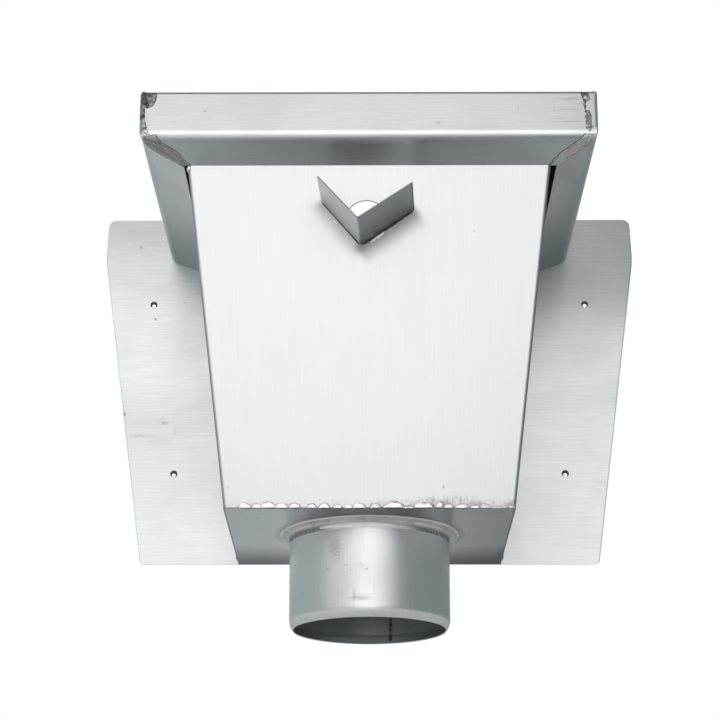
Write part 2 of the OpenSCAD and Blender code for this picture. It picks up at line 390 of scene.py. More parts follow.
def solder(name, dark, light, speck, gloss, patch=5.0, contrast=1.0, metallic=1.0):
    """Soft solder drawn with an iron: mottled from dark to light in patches of a size in millimetres, with
    specks of flux and a lumpy skin."""
    material, tree, coords = start_finish(name)
    mottle = even_grain(tree, coords, patch * MM, 5.0)
    spread = 0.16 / contrast
    colour = paint(tree, span(tree, mottle, 0.5 - spread, 0.5 + spread), (*dark, 1), (*light, 1))
    flecks = even_grain(tree, coords, FLECK_SIZE, 2.0)
    colour = paint(tree, span(tree, flecks, 0.58, 0.70, 0.0, 0.8), colour, (*speck, 1))
    roughness = span(tree, mottle, 0.3, 0.7, gloss + 0.12, gloss - 0.08)
    lumps = bump(tree, mottle, 0.35 * MM, 0.8)
    end_finish(tree, colour, roughness, bump(tree, flecks, 0.12 * MM, 0.5, lumps), metallic)
    return material


def drawn_solder(name, along, dark, light):
    """Solder wiped along a seam: fine lines in the direction of the seam over a brown-grey skin."""
    material, tree, coords = start_finish(name)
    turn = along.rotation_difference(X).to_euler()
    lengthwise = put(tree, "Mapping", {"Vector": coords, "Rotation": turn})["Vector"]
    lines = grain(tree, lengthwise, (14 * MM, 0.8 * MM, 0.8 * MM), 4.0)
    mottle = even_grain(tree, coords, 6 * MM, 4.0)
    colour = paint(tree, span(tree, lines, 0.34, 0.66), (*dark, 1), (*light, 1))
    colour = paint(tree, span(tree, mottle, 0.50, 0.72, 0.0, 0.6), colour, (*dark, 1))
    flecks = even_grain(tree, coords, 1.0 * MM, 2.0)
    colour = paint(tree, span(tree, flecks, 0.62, 0.72, 0.0, 0.7), colour, ZINC_LIGHT)
    roughness = span(tree, mottle, 0.3, 0.7, 0.40, 0.52)
    end_finish(tree, colour, roughness, bump(tree, lines, 0.15 * MM, 0.7), 0.7)
    return material


def outlet_ring_solder(name):
    """Solder wiped round the outlet: brown-grey rings with a bright line at their edge, bright again at the
    pipe's root in front, and dark against the pipe at both sides as burnt flux and painted shade."""
    material, tree, coords = start_finish(name)
    place = parts_of(tree, coords)
    radius = outlet_radius(tree, coords)
    rings = grain(tree, put(tree, "CombineXYZ", {"X": radius})["Vector"], (0.7 * MM, 1, 1), 3.0)
    mottle = even_grain(tree, coords, 7 * MM, 5.0)
    colour = paint(tree, span(tree, rings, 0.35, 0.65), RING_DARK, RING_LIGHT)
    colour = paint(tree, span(tree, mottle, 0.48, 0.68, 0.0, 0.5), colour, RING_PATCH)
    edge = between(tree, radius, FLARE_LIP - 0.5 * MM, FLARE_LIP + 0.2 * MM, 0.25 * MM)
    colour = paint(tree, times(tree, edge, 0.8), colour, ZINC_LIGHT)
    root = span(tree, place["Z"], FLARE_FOOT, FLARE_FOOT - 0.6 * MM)
    colour = paint(tree, root, colour, ZINC_LIGHT)
    sides = span(tree, size_of(tree, place["X"]), 18 * MM, 33 * MM)
    dirt = span(tree, even_grain(tree, coords, FLECK_SIZE, 4.0), 0.25, 0.75, 1.0, 0.55)
    # Burnt flux and painted shade against the pipe at its sides
    contact_flux_and_shade = times(tree, span(tree, place["Z"], FLARE_FOOT + 2.0 * MM, FLARE_FOOT - 0.6 * MM), sides)
    colour = paint(tree, times(tree, contact_flux_and_shade, dirt), colour, BURNT_FLUX_AND_SHADE)
    glints = span(tree, even_grain(tree, coords, BREAK_SIZE, 2.0), 0.62, 0.70, 0.0, 0.7)
    colour = paint(tree, times(tree, contact_flux_and_shade, glints), colour, ZINC_LIGHT)
    roughness = span(tree, mottle, 0.3, 0.7, 0.38, 0.48)
    end_finish(tree, colour, roughness, bump(tree, mottle, 0.10 * MM, 0.6), 0.6)
    return material


# Stains in the sheets

def painted_shade_under_wing(tree, coords, side, width):
    """A mask of painted shade that is darkest along the base of a wing of the spout and fades out below it.
    """
    start, end = Vector(SPOUT_FOLD), Vector(SPOUT_EDGE[side])
    angle = math.atan2(end.y - start.y, end.x - start.x)
    shift = Matrix.Rotation(angle, 3, "Y") @ Vector((start.x, 0, start.y))
    turn = {"Vector": coords, "Rotation": (0, angle, 0), "Location": -shift}
    place = parts_of(tree, put(tree, "Mapping", turn)["Vector"])
    below = times(tree, place["Z"], -side)
    along = between(tree, place["X"], 0, (end - start).length - 2 * MM, 6 * MM)
    fading = times(tree, span(tree, below, width, 0), span(tree, below, -4 * MM, 0))
    return times(tree, fading, along)


def panel_stains_and_shade(tree, coords, colour):
    """Painted shade below the spout, the dull smears and the soot above the bottom seam, painted shade on the
    bends at both sides, stronger on the right, and a ring of painted shade at the edge of the overflow hole."""
    # Painted shade under the spout's wings, stronger under the right one
    colour = paint(tree, times(tree, painted_shade_under_wing(tree, coords, LEFT, 11 * MM), 0.50), colour, SMUDGE_AND_SHADE)
    colour = paint(tree, times(tree, painted_shade_under_wing(tree, coords, RIGHT, 14 * MM), 0.80), colour, SMUDGE_AND_SHADE)
    place = parts_of(tree, coords)
    band = span(tree, place["Z"], WALL_FOOT + 5.5 * MM, WALL_FOOT + 2.0 * MM)
    smears = span(tree, grain(tree, coords, (3.5 * MM, 9 * MM, 5 * MM), 4.0), 0.36, 0.66)
    dirtier = span(tree, place["X"], -10 * MM, 30 * MM, 0.2, 0.9)
    colour = paint(tree, times(tree, times(tree, band, smears), dirtier), colour, FLUX)
    streaks = span(tree, grain(tree, coords, (1.3 * MM, 9 * MM, 8 * MM), 4.0), 0.38, 0.62)
    over_drops = between(tree, place["Z"], WALL_FOOT + 1.2 * MM, WALL_FOOT + 3.5 * MM, 4.5 * MM)
    sooty = between(tree, place["X"], 36 * MM, 56 * MM, 9 * MM)
    soot = times(tree, times(tree, streaks, over_drops), sooty)
    colour = paint(tree, times(tree, soot, 0.5), colour, SMUDGE_AND_SHADE)
    heights = (WALL_FOOT, WALL_HEAD)
    half_width = ramp(tree, place["Z"], heights, (FLOOR_HALF_W, MOUTH_HALF_W))
    behind = minus(tree, place["Y"], ramp(tree, place["Z"], heights, (FLOOR_FRONT, MOUTH_FRONT)))
    from_side = minus(tree, half_width, size_of(tree, place["X"]))
    # Painted shade on the bends at the panel's sides, stronger on the right
    bend_shade = times(tree, span(tree, from_side, 1.4 * MM, 0.5 * MM), span(tree, behind, 3.5 * MM, 2.0 * MM))
    more_right = span(tree, place["X"], -9 * MM, 9 * MM, 0.45, 0.6)
    colour = paint(tree, times(tree, bend_shade, more_right), colour, SMUDGE_AND_SHADE)
    # A ring of painted shade at the edge of the overflow hole
    away = distance_from(tree, coords, on_panel(OVERFLOW_X, OVERFLOW_Z))
    return paint(tree, span(tree, away, OVERFLOW_R + 0.5 * MM, OVERFLOW_R + 0.25 * MM), colour, SMUDGE_AND_SHADE)


# Painted shade at the wall plate's ends: where each sets in and is full, across and up, in millimetres, and
# its tint
PLATE_PAINTED_SHADE = (
    ((0, -90), (85, 115), (0.84, 0.86, 0.86, 1)),
    ((0, -90), (10, -30), (0.92, 0.915, 0.915, 1)),
    ((0, 90), (30, 66), (0.79, 0.82, 0.80, 1)),
)


def plate_edges_and_painted_shading(tree, coords, colour):
    """The dark cut ends of the wall plate, darker on the right as painted shade, a painted lighter band of
    reflection across its middle, and painted shade at its ends and beside the body on the right.
    """
    place = parts_of(tree, coords)
    widening = (PLATE_FOOT_HALF_W, PLATE_SHOULDER_HALF_W)
    half_width = ramp(tree, place["Z"], (plate_low.z, BAND_LOW), widening)
    from_end = minus(tree, half_width, size_of(tree, place["X"]))
    # Painted shade: the dark line along the cut ends is stronger on the right
    more_right = span(tree, place["X"], -9 * MM, 9 * MM, 0.2, 0.45)
    cut = times(tree, span(tree, from_end, 1.1 * MM, 0.6 * MM), more_right)
    colour = paint(tree, cut, colour, SMUDGE_AND_SHADE)
    # A painted lighter band of reflection across the plate's middle
    middle = between(tree, place["Z"], 12 * MM, 52 * MM, 25 * MM)
    colour = tone(tree, middle, colour, (1.10, 1.095, 1.095, 1))
    # Painted shade at the plate's ends
    for (x_from, x_full), (z_from, z_full), tint in PLATE_PAINTED_SHADE:
        across = span(tree, place["X"], x_from * MM, x_full * MM)
        up = span(tree, place["Z"], z_from * MM, z_full * MM)
        colour = tone(tree, times(tree, across, up), colour, tint)
    # Painted shade on the plate's right foot beside the body
    right_foot = span(tree, place["Z"], 10 * MM, -110 * MM)
    beside_body = between(tree, place["X"], 60 * MM, 115 * MM, 50 * MM)
    return tone(tree, times(tree, right_foot, beside_body), colour, (0.86, 0.83, 0.83, 1))


def floor_stains_and_shade(tree, coords, colour):
    """The halo of heat and flux round the outlet, a painted dark reflection of the pipe before it, painted
    shade towards the rear, and dark edges.
    """
    place = parts_of(tree, coords)
    radius = outlet_radius(tree, coords)
    halo = span(tree, radius, FLARE_LIP + 6.0 * MM, FLARE_LIP + 1.0 * MM, 0.0, 0.55)
    colour = paint(tree, halo, colour, FLUX)
    # Painted dark reflection of the pipe on the floor in front of it
    before = span(tree, place["Y"], OUTLET_Y - 25 * MM, OUTLET_Y - 45 * MM, 0.0, 0.87)
    beside = span(tree, size_of(tree, place["X"]), OUTLET_R + 2 * MM, OUTLET_R - 30 * MM)
    colour = paint(tree, times(tree, beside, before), colour, BURNT_FLUX_AND_SHADE)
    # Painted shade, darker towards the wall plate
    rear = span(tree, place["Y"], PLATE_FACE - 65 * MM, PLATE_FACE, 0.0, 1.0)
    colour = paint(tree, rear, colour, SMUDGE_AND_SHADE)
    front_edge = span(tree, place["Y"], FLOOR_FRONT + 0.9 * MM, FLOOR_FRONT + 0.4 * MM, 0.0, 0.85)
    colour = paint(tree, front_edge, colour, SMUDGE_AND_SHADE)
    edge = FLOOR_HALF_W - 0.6 * MM
    side_edges = span(tree, size_of(tree, place["X"]), edge - 0.5 * MM, edge, 0.0, 0.75)
    return paint(tree, side_edges, colour, SMUDGE_AND_SHADE)


def top_mitre_stains(tree, coords, colour):
    """The dull solder in the mitres on top of the rim."""
    place = parts_of(tree, coords)
    on_top = span(tree, place["Z"], RIM_TOP - 0.4 * MM, RIM_TOP - 0.1 * MM)
    inwards = minus(tree, size_of(tree, place["X"]), RIM_HALF_W)
    backwards = minus(tree, place["Y"], RIM_FRONT)
    slant = (RIM_HALF_W - MOUTH_HALF_W) / (MOUTH_FRONT - RIM_FRONT)
    across = reckon(tree, "MULTIPLY_ADD", backwards, slant, inwards)
    width = span(tree, even_grain(tree, coords, 4 * MM, 4.0), 0.3, 0.7, 2.0 * MM, 4.5 * MM)
    near = reckon(tree, "LESS_THAN", size_of(tree, across), width)
    return paint(tree, times(tree, times(tree, near, on_top), 0.8), colour, FLUX)


def outlet_inside_shade(tree, coords, colour):
    """Painted shade on the inside of the outlet, and a little of it on the outside of its drawn-in end."""
    radius = outlet_radius(tree, coords)
    # Painted shade inside the pipe
    inside = span(tree, radius, OUTLET_R - 0.3 * MM, OUTLET_R - 0.7 * MM, 0.0, 0.35)
    off_end = span(tree, drawn_in_end(tree, coords), 0.0, 1.0, 1.0, 0.4)
    return paint(tree, times(tree, inside, off_end), colour, PAINTED_COOL_SHADE)


def drawn_in_end(tree, coords):
    """A mask of the outside of the outlet's lower end, where it was drawn in along a curve."""
    radius = outlet_radius(tree, coords)
    down = minus(tree, NECK_HEAD, parts_of(tree, coords)["Z"])
    curve = -NECK_IN / NECK_LENGTH ** 2
    middle = reckon(tree, "MULTIPLY_ADD", times(tree, down, down), curve, OUTLET_R - SHEET / 2)
    outside = reckon(tree, "GREATER_THAN", radius, middle)
    return times(tree, outside, span(tree, down, 0, 4.0 * MM))


def side_strip_stains_and_shade(tree, coords, colour):
    """The solder in the mitres on top of the rim, and painted shade on the underside of a side strip, darker
    near the wall.
    """
    place = parts_of(tree, coords)
    under = span(tree, place["Z"], BAND_LOW + 4 * MM, BAND_LOW)
    # Painted shade on the side strip's underside, growing towards the wall
    near_wall = span(tree, place["Y"], MOUTH_FRONT, PLATE_FACE, 0.0, 0.85)
    return paint(tree, times(tree, under, near_wall), top_mitre_stains(tree, coords, colour), PAINTED_COOL_SHADE)


def spout_shade_and_edges(tree, coords, colour):
    """Painted shade over the spout's right wing, and the dark cut edges of its sheet."""
    root = on_panel(*SPOUT_FOLD)
    from_root = put(tree, "Mapping", {"Vector": coords, "Location": -root})["Vector"]
    straight = put(tree, "Mapping", {"Vector": from_root, "Rotation": (0, 0, SPOUT_TURN)})["Vector"]
    place = parts_of(tree, straight)
    # Painted shade over the right wing
    right = span(tree, place["X"], -0.5 * MM, 1.0 * MM, 0.0, 0.32)
    colour = paint(tree, right, colour, PAINTED_COOL_SHADE)
    across = SPOUT_EDGE[RIGHT][0] - SPOUT_FOLD[0]
    end_edge = span(tree, place["X"], across - 0.9 * MM, across - 0.4 * MM, 0.0, 0.8)
    colour = paint(tree, end_edge, colour, SMUDGE_AND_SHADE)
    tip_edge = span(tree, place["Y"], 0.25 * MM - SPOUT_LENGTH, 0.08 * MM - SPOUT_LENGTH, 0.0, 0.8)
    return paint(tree, tip_edge, colour, SMUDGE_AND_SHADE)


# Marks in the sheets: place across and up, or on the floor across and back, reach along x, y and z, both in
# millimetres, and strength

PLATE_MARKS = (
    ((-155.9, 100.6), (1.6, 0.6, 1.4), 0.9),
    ((-144.2, 48.8), (1.4, 0.6, 1.4), 0.9),
    ((-124.9, 60.9), (1.0, 0.6, 1.0), 0.8),
    ((-163.2, -17.3), (1.6, 0.6, 2.6), 0.9),
    ((-136.0, -24.2), (3.0, 0.6, 1.8), 0.6),
    ((-151.0, -32.7), (10.0, 0.6, 1.8), 0.22),
    ((-129.5, -29.5), (0.9, 0.6, 6.0), 0.22),
)
PLATE_SCRATCHES = (
    ((-148.0, -24.0), (17.0, 0.6, 9.0), 0.07),
    ((-140.0, -36.0), (12.0, 0.6, 8.0), 0.05),
    ((-155.0, -33.0), (9.0, 0.6, 3.0), 0.10),
    ((-137.0, -23.0), (5.0, 0.6, 3.5), 0.12),
)
PANEL_MARKS = (
    ((62.7, 42.3), (1.2, 3, 1.4), 0.35),
    ((43.3, -107.6), (1.0, 3, 1.8), 0.45),
    ((-83.0, -108.2), (1.0, 3, 1.2), 0.6),
)
RIM_MARKS = (
    ((-97.0, 107.2), (1.5, 2, 0.8), 0.7),
    ((40.5, 99.5), (3.0, 2, 1.4), 0.35),
)
RIM_SCRATCHES = (
    ((119.0, 114.6), (10.0, 2, 0.5), 0.40),
    ((121.5, 115.6), (6.0, 2, 0.5), 0.25),
    ((118.0, 108.0), (11.0, 2, 0.4), 0.32),
    ((111.5, 102.2), (6.0, 2, 0.4), 0.28),
    ((118.0, 100.2), (12.0, 2, 0.4), 0.32),
    ((109.0, 108.5), (0.5, 2, 2.5), 0.25),
    ((88.0, 109.0), (0.5, 2, 3.0), 0.20),
)
FLOOR_MARKS = (
    ((-75.0, -144.0), (1.2, 1.4, 2), 0.7),
    ((-72.0, -137.0), (1.4, 1.6, 2), 0.7),
    ((-66.0, -133.5), (1.2, 1.4, 2), 0.6),
    ((83.5, -32.0), (3.5, 26.0, 2), 0.8),
)
OUTLET_MARKS = (
    ((-20.3, -138.0), (6.5, 6, 10.0), 0.36),
    ((-14.0, -148.5), (1.6, 5, 1.2), 0.40),
    ((-25.0, -150.0), (1.8, 5, 1.8), 0.40),
    ((-11.0, -152.0), (1.4, 5, 1.0), 0.30),
    ((-4.6, -149.8), (1.6, 5, 1.0), 0.35),
    ((-1.8, -151.6), (1.8, 5, 1.3), 0.60),
)
OUTLET_SCRATCHES = (
    ((-19.0, -140.0), (7.0, 7, 11.0), 0.10),
    ((-5.0, -149.0), (5.5, 5, 3.0), 0.10),
    ((-9.0, -166.6), (0.9, 4, 5.6), 0.32),
    ((-5.5, -168.4), (11.0, 5, 1.0), 0.24),
    ((-4.5, -169.6), (8.0, 5, 0.8), 0.18),
    ((-5.0, -168.0), (7.0, 5, 3.2), 0.18),
)


# Making pieces

SKIN = 0.3 * MM
SKIN_STEPS = (40, 16)
SEAM_STEP = 1.2 * MM
SEAM_STEPS_ACROSS = 8
SEAM_TAPER = 2.5 * MM
SEAM_WANDER = 3.5 * MM
SEAM_LUMP = 2.2 * MM


def new_piece(name, bm, finish):
    """Turns a finished bmesh into a piece that rides with the head and takes its finish. Its points and
    faces are sorted by place, because Blender's own order changes from run to run."""
    points = sorted(bm.verts, key=lambda vert: vert.co[:])
    numbers = {vert: number for number, vert in enumerate(points)}
    faces = sorted(([numbers[vert] for vert in face.verts] for face in bm.faces), key=sorted)
    mesh = bpy.data.meshes.new(name)
    mesh.from_pydata([vert.co for vert in points], [], faces)
    mesh.shade_smooth()
    bm.free()
    piece = bpy.data.objects.new(name, mesh)
    bpy.context.scene.collection.objects.link(piece)
    mesh.materials.append(finish)
    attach(piece, "root")
    return piece


def tidy_shell(bm):
    """Merges doubles and turns every face outwards."""
    bmesh.ops.remove_doubles(bm, verts=bm.verts, dist=0.005 * MM)
    bmesh.ops.recalc_face_normals(bm, faces=bm.faces)


def solder_skin(name, finish, steps, outwards, place):
    """A skin of solder laid over the sheets: a grid, each point of which is placed by its share along the
    skin, from 0 to 1, and across it, from -1 to 1."""
    bm = bmesh.new()
    bmesh.ops.create_grid(bm, x_segments=steps[0], y_segments=steps[1], size=1.0)
    for vert in bm.verts:
        vert.co = place((vert.co.x + 1) / 2, vert.co.y)
    tidy_shell(bm)
    bm.normal_update()
    if sum((face.normal for face in bm.faces), Vector()).dot(outwards) < 0:
        bmesh.ops.reverse_faces(bm, faces=bm.faces)
    bmesh.ops.solidify(bm, geom=bm.faces[:], thickness=SKIN)
    return new_piece(name, bm, finish)


def solder_seam(name, finish, ends, laps, rise, seed=0.0, bend=None):
    """A run of solder between two ends: it laps onto a sheet on each side, stands proud in its middle,
    wanders at its edges and tapers off at its ends. It may bend with the sheet."""
    start, end = ends
    length = (end - start).length

    def place(along, across):
        middle = start.lerp(end, along)
        side = 0 if across < 0 else 1
        taper = math.sqrt(min(1.0, min(along, 1 - along) * length / SEAM_TAPER))
        wander = noise.noise(middle / SEAM_WANDER + Vector((seed, 9.0 * side, 0)))
        lump = noise.noise(middle / SEAM_LUMP + Vector((0, seed, 2.0 * across)))
        lap = laps[side] * (abs(across) * (1 + 0.35 * wander))
        crown = rise * ((1 - abs(across) ** 2.2) * (1 + 0.45 * lump))
        if bend:
            middle = bend(middle)
        return middle + (lap + crown) * taper

    steps = (max(12, round(length / SEAM_STEP)), SEAM_STEPS_ACROSS)
    return solder_skin(name, finish, steps, rise, place)


def solder_drop(bm, centre, turn, size):
    """Adds a lumpy drop of solder. Its half sizes lie along the three axes of the turn."""
    for vert in bmesh.ops.create_uvsphere(bm, u_segments=20, v_segments=12, radius=1.0)["verts"]:
        lump = 1 + 0.14 * noise.noise(vert.co * 1.7 + centre * 300)
        vert.co = centre + turn @ Vector([part * half * lump for part, half in zip(vert.co, size)])


# Solder on the outside

# The mitres under the rim: their run in millimetres, the laps of their solder onto the front strip and onto
# the side strip, the share of those laps from the outer corner to the inner one, and the solder's tones
MITRE_RUN = (23, 22, -8)
MITRE_LAPS = {LEFT: (10.2 * MM, 7.0 * MM), RIGHT: (12.0 * MM, 1.8 * MM)}
MITRE_WIDTHS = {
    LEFT: ((0, 0.90), (0.35, 1.0), (1, 0.50)),
    RIGHT: ((0, 0.66), (0.25, 0.76), (0.5, 0.76), (0.75, 0.60), (1, 0.40)),
}
MITRE_TONES = {
    LEFT: ((0.24, 0.23, 0.235), (0.48, 0.46, 0.46)),
    RIGHT: ((0.36, 0.345, 0.34), (0.72, 0.69, 0.68)),
}


def mitre_solder(name, side, finish, edges=(-1, 1), rise=0.36 * MM):
    """The band of solder drawn along a mitre under the rim, from its outer corner to its inner one. Its edges
    are shares of the laps onto the front strip, below 0, and onto the side strip, above 0."""
    outer = Vector((side * RIM_HALF_W, RIM_FACE, 0))
    inner = Vector((side * SOFFIT_SIDE_EDGE[side], SOFFIT_FRONT_EDGE, 0))
    front_lap, side_lap = MITRE_LAPS[side]

    def place(along, across):
        middle = outer.lerp(inner, 0.02 + 0.97 * along)
        wander = noise.noise(middle / (4 * MM) + Vector((side, 0, 0)))
        share = edges[0] + (edges[1] - edges[0]) * (across + 1) / 2
        width = abs(share) * read_table(MITRE_WIDTHS[side], along) * (1 + 0.1 * wander)
        if share < 0:
            middle.x -= side * front_lap * width
        else:
            middle.y += side_lap * width
        lump = noise.noise(middle / (2.5 * MM))
        lift = 0.04 * MM + rise * (1 - abs(across) ** 6) * (1 + 0.35 * lump)
        middle.z = rim_underside(side, middle.x, middle.y) - lift
        return middle

    return solder_skin(name, finish, SKIN_STEPS, -Z, place)


# Reach of the solder over the rim's front corners, from its upper to its lower end, in millimetres
SCORCHED_REACH = ((0, 9.8), (0.12, 10.9), (0.3, 10.2), (0.45, 9.0), (0.53, 7.2), (0.58, 3.9), (1, 4.1))
LEFT_FOOT_REACH = ((0, 4.1), (0.5, 5.0), (1, 6.2))
RIGHT_LINE_REACH = ((0, 10.9), (0.25, 9.9), (0.6, 8.7), (1, 8.3))
RIGHT_LINE_FROM = ((0, 6.6), (0.22, 5.6), (0.34, 8.3), (0.6, 7.9), (1, 7.7))
RIGHT_SMEAR_REACH = ((0, 8.3), (0.3, 8.8), (0.8, 8.3), (1, 7.0))
RIGHT_SMEAR_FROM = ((0, 6.0), (0.3, 5.1), (0.8, 4.8), (1, 5.6))
ROUND_EDGE = ((0, -1.0), (1, -1.0))
CORNER_HEAD = RIM_TOP - 0.6 * MM

# Solder over the rim's front corners: side, finish, upper and lower end, reaches from and to, lift and seed
CORNER_SOLDER = {
    "corner_solder_left": (
        LEFT, "scorched_solder", (CORNER_HEAD, 101 * MM), ROUND_EDGE, SCORCHED_REACH, 0.28 * MM, 4.0),
    "corner_foot_left": (
        LEFT, "speckled_solder", (102 * MM, 93.4 * MM), ROUND_EDGE, LEFT_FOOT_REACH, 0.22 * MM, 2.0),
    "corner_line_right": (
        RIGHT, "flecked_solder", (CORNER_HEAD, 95.5 * MM), RIGHT_LINE_FROM, RIGHT_LINE_REACH, 0.15 * MM, 7.0),
    "corner_smear_right": (
        RIGHT, "dull_solder", (107 * MM, 94 * MM), RIGHT_SMEAR_FROM, RIGHT_SMEAR_REACH, 0.2 * MM, 8.0),
}


def corner_solder(name, side, finish, heights, reach_from, reach_to, lift, seed):
    """Solder over a front corner of the rim, between two reaches that change with the height."""
    def place(down, across):
        z = heights[0] + (heights[1] - heights[0]) * down
        share = (across + 1) / 2
        wander = noise.noise(Vector((seed, 9.0 * (across > 0), z / (1.6 * MM))))
        start = read_table(reach_from, down)
        reach = (start + (read_table(reach_to, down) - start) * share + (share - 0.5) * 0.9 * wander) * MM
        lump = noise.noise(Vector((reach / (1.8 * MM), seed, z / (1.8 * MM))))
        dome = (1 - abs(across) ** 8) * (1 - abs(2 * down - 1) ** 12)
        return rim_corner(side, reach, z, 0.03 * MM + lift * dome * (1 + 0.6 * lump))

    return solder_skin(name, finish, SKIN_STEPS, X * side - Y, place)


# Drops at the foot of the rim's left corner: place across and up, half width and half height, in millimetres
FOOT_DROPS = ((-133.6, 92.0, 1.2, 1.3), (-131.7, 92.5, 1.2, 1.1), (-130.0, 92.2, 0.9, 0.8))


def corner_drops(finish):
    """Drops of bright solder: at the foot of the rim's left corner and in the corner under the rim."""
    bm = bmesh.new()
    for x, z, width, height in FOOT_DROPS:
        foot = Vector((x * MM, RIM_FACE + band_set_in(z * MM), z * MM))
        solder_drop(bm, foot, Matrix.Identity(3), (width * MM, 0.7 * MM, height * MM))
    corner = on_panel(0.8 * MM - wall_half_width(SOFFIT_LOW), SOFFIT_LOW - 1.6 * MM) + Y * (0.8 * MM)
    solder_drop(bm, corner, ON_PANEL, (1.4 * MM, 1.3 * MM, 2.4 * MM))
    tidy_shell(bm)
    return new_piece("corner_drops", bm, finish)


# Solder tacks along the front seam: middle, width and height on the panel, in millimetres
FRONT_TACKS_LEFT = (
    (-72.9, 7.9, 3.0), (-66.1, 6.0, 2.8), (-59.1, 9.0, 3.6), (-51.5, 8.4, 3.0), (-43.8, 6.6, 3.2),
    (-33.7, 5.8, 2.6), (-26.5, 6.6, 2.8), (-18.5, 5.2, 2.4), (-12.4, 4.8, 2.3), (-6.0, 7.7, 2.8),
)
FRONT_TACKS_RIGHT = (
    (3.3, 6.0, 2.7), (14.3, 12.8, 3.3), (22.5, 7.0, 1.2), (31.6, 12.6, 3.1), (40.8, 4.8, 4.0),
    (46.3, 5.6, 2.4), (53.9, 8.4, 2.2), (61.7, 6.0, 1.7), (67.9, 6.6, 2.0), (75.5, 9.0, 0.9),
    (83.1, 3.2, 1.4),
)


def front_seam_tacks(name, finish, tacks, spread, depth):
    """Scalloped drops along the seam that holds the floor to the front panel. Each is as wide and high as its
    tack and a spread more, and as deep as the depth, in millimetres."""
    bm = bmesh.new()
    for middle, width, height in tacks:
        foot = on_panel(middle * MM, FLOOR_UNDER)
        size = ((width / 2 + spread) * MM, depth * MM, (height + 1.2 * spread) * MM)
        solder_drop(bm, foot, ON_PANEL, size)
    below = bmesh.ops.bisect_plane(
        bm, geom=bm.verts[:] + bm.edges[:] + bm.faces[:], dist=0.001 * MM,
        plane_co=(0, 0, FLOOR_UNDER), plane_no=-Z, clear_outer=True)
    rim = [edge for edge in below["geom_cut"] if isinstance(edge, bmesh.types.BMEdge)]
    bmesh.ops.holes_fill(bm, edges=rim)
    bmesh.ops.recalc_face_normals(bm, faces=bm.faces)
    return new_piece(name, bm, finish)


def outlet_ring_profile():
    """Section of the solder round the outlet, from its edge on the floor down the flare to the pipe: distance
    from the outlet's axis and height."""
    skin = 0.18 * MM
    edge = FLARE_LIP + 0.35 * MM
    turns = [math.radians(90 + 15 * step) for step in range(7)]

    def flare(radius):
        return [(OUTLET_R + FLARE_R + radius * math.cos(a), FLARE_FOOT + radius * math.sin(a)) for a in turns]

    outside = flare(FLARE_R - skin) + [(OUTLET_R + 0.6 * skin, FLARE_FOOT - 2.0 * MM)]
    inside = [(OUTLET_R - skin, FLARE_FOOT - 2.6 * MM)] + flare(FLARE_R + skin)[::-1]
    low_edge = [(edge, FLOOR_UNDER - 0.6 * SHEET), (FLARE_LIP - skin, FLOOR_UNDER - SHEET - skin)]
    top = FLOOR_UNDER + skin
    return [(edge, top)] + low_edge + outside + inside + [(FLARE_LIP - skin, top)]


def outlet_solder_ring(finish):
    """The solder wiped over the outlet's flare and onto the floor."""
    bm = bmesh.new()
    corners = [bm.verts.new((radius, OUTLET_Y, height)) for radius, height in outlet_ring_profile()]
    edges = [bm.edges.new((a, b)) for a, b in zip(corners, corners[1:] + corners[:1])]
    bmesh.ops.spin(
        bm, geom=corners + edges, cent=(0, OUTLET_Y, 0), axis=Z, angle=2 * math.pi, steps=144, use_merge=True)
    tidy_shell(bm)
    for vert in bm.verts:
        out = Vector((vert.co.x, vert.co.y - OUTLET_Y, 0)).normalized()
        lump = noise.noise(vert.co / (6 * MM))
        if vert.co.z < FLOOR_UNDER - 0.4 * MM:
            vert.co += (out - Z) * (0.06 * lump * MM)
    return new_piece("outlet_solder_ring", bm, finish)


def root_highlight_bead(finish):
    """A bead of white solder at the pipe's root in front, which stands for a painted highlight."""
    turns = (math.radians(-38), math.radians(18))

    def place(along, across):
        turn = turns[0] + (turns[1] - turns[0]) * along
        out = Vector((math.sin(turn), -math.cos(turn), 0))
        lump = noise.noise(out * 12)
        taper = math.sqrt(max(0.0, 1 - abs(2 * along - 1) ** 3))
        middle = FLARE_FOOT - (0.3 + 0.3 * lump) * MM
        height = middle + across * taper * (1.2 + 0.35 * lump) * MM
        flare = FLARE_R - math.sqrt(FLARE_R ** 2 - max(0.0, height - FLARE_FOOT) ** 2)
        lift = (0.12 + 0.30 * taper * (1 - across ** 2)) * MM
        return Vector((0, OUTLET_Y, height)) + out * (OUTLET_R + flare + lift)

    return solder_skin("root_highlight_bead", finish, (60, 10), -Y, place)


def spout_base(side, share):
    """A place on the front panel under a wing of the spout, from its fold to its edge."""
    fold = Vector(SPOUT_FOLD)
    x, z = fold.lerp(Vector(SPOUT_EDGE[side]), share)
    return on_panel(x, z)


def spout_solder(name, side, finish, width):
    """The thin dark line of solder that holds a wing of the spout to the front panel."""
    ends = (spout_base(side, 0.02), spout_base(side, 0.99))
    along = (ends[1] - ends[0]).normalized()
    below = along.cross(PANEL_OUT) * side
    laps = (below * width, PANEL_OUT * (0.5 * MM))
    return solder_seam(name, finish, ends, laps, (below + PANEL_OUT) * (0.2 * MM), seed=side)


# Runs of solder beside the spout: side, share of the wing's length, half length and half width in mm
SPOUT_DROPS = ((RIGHT, 0.22, 2.7, 0.55), (RIGHT, 0.52, 0.9, 0.6), (LEFT, 0.58, 2.0, 0.5))


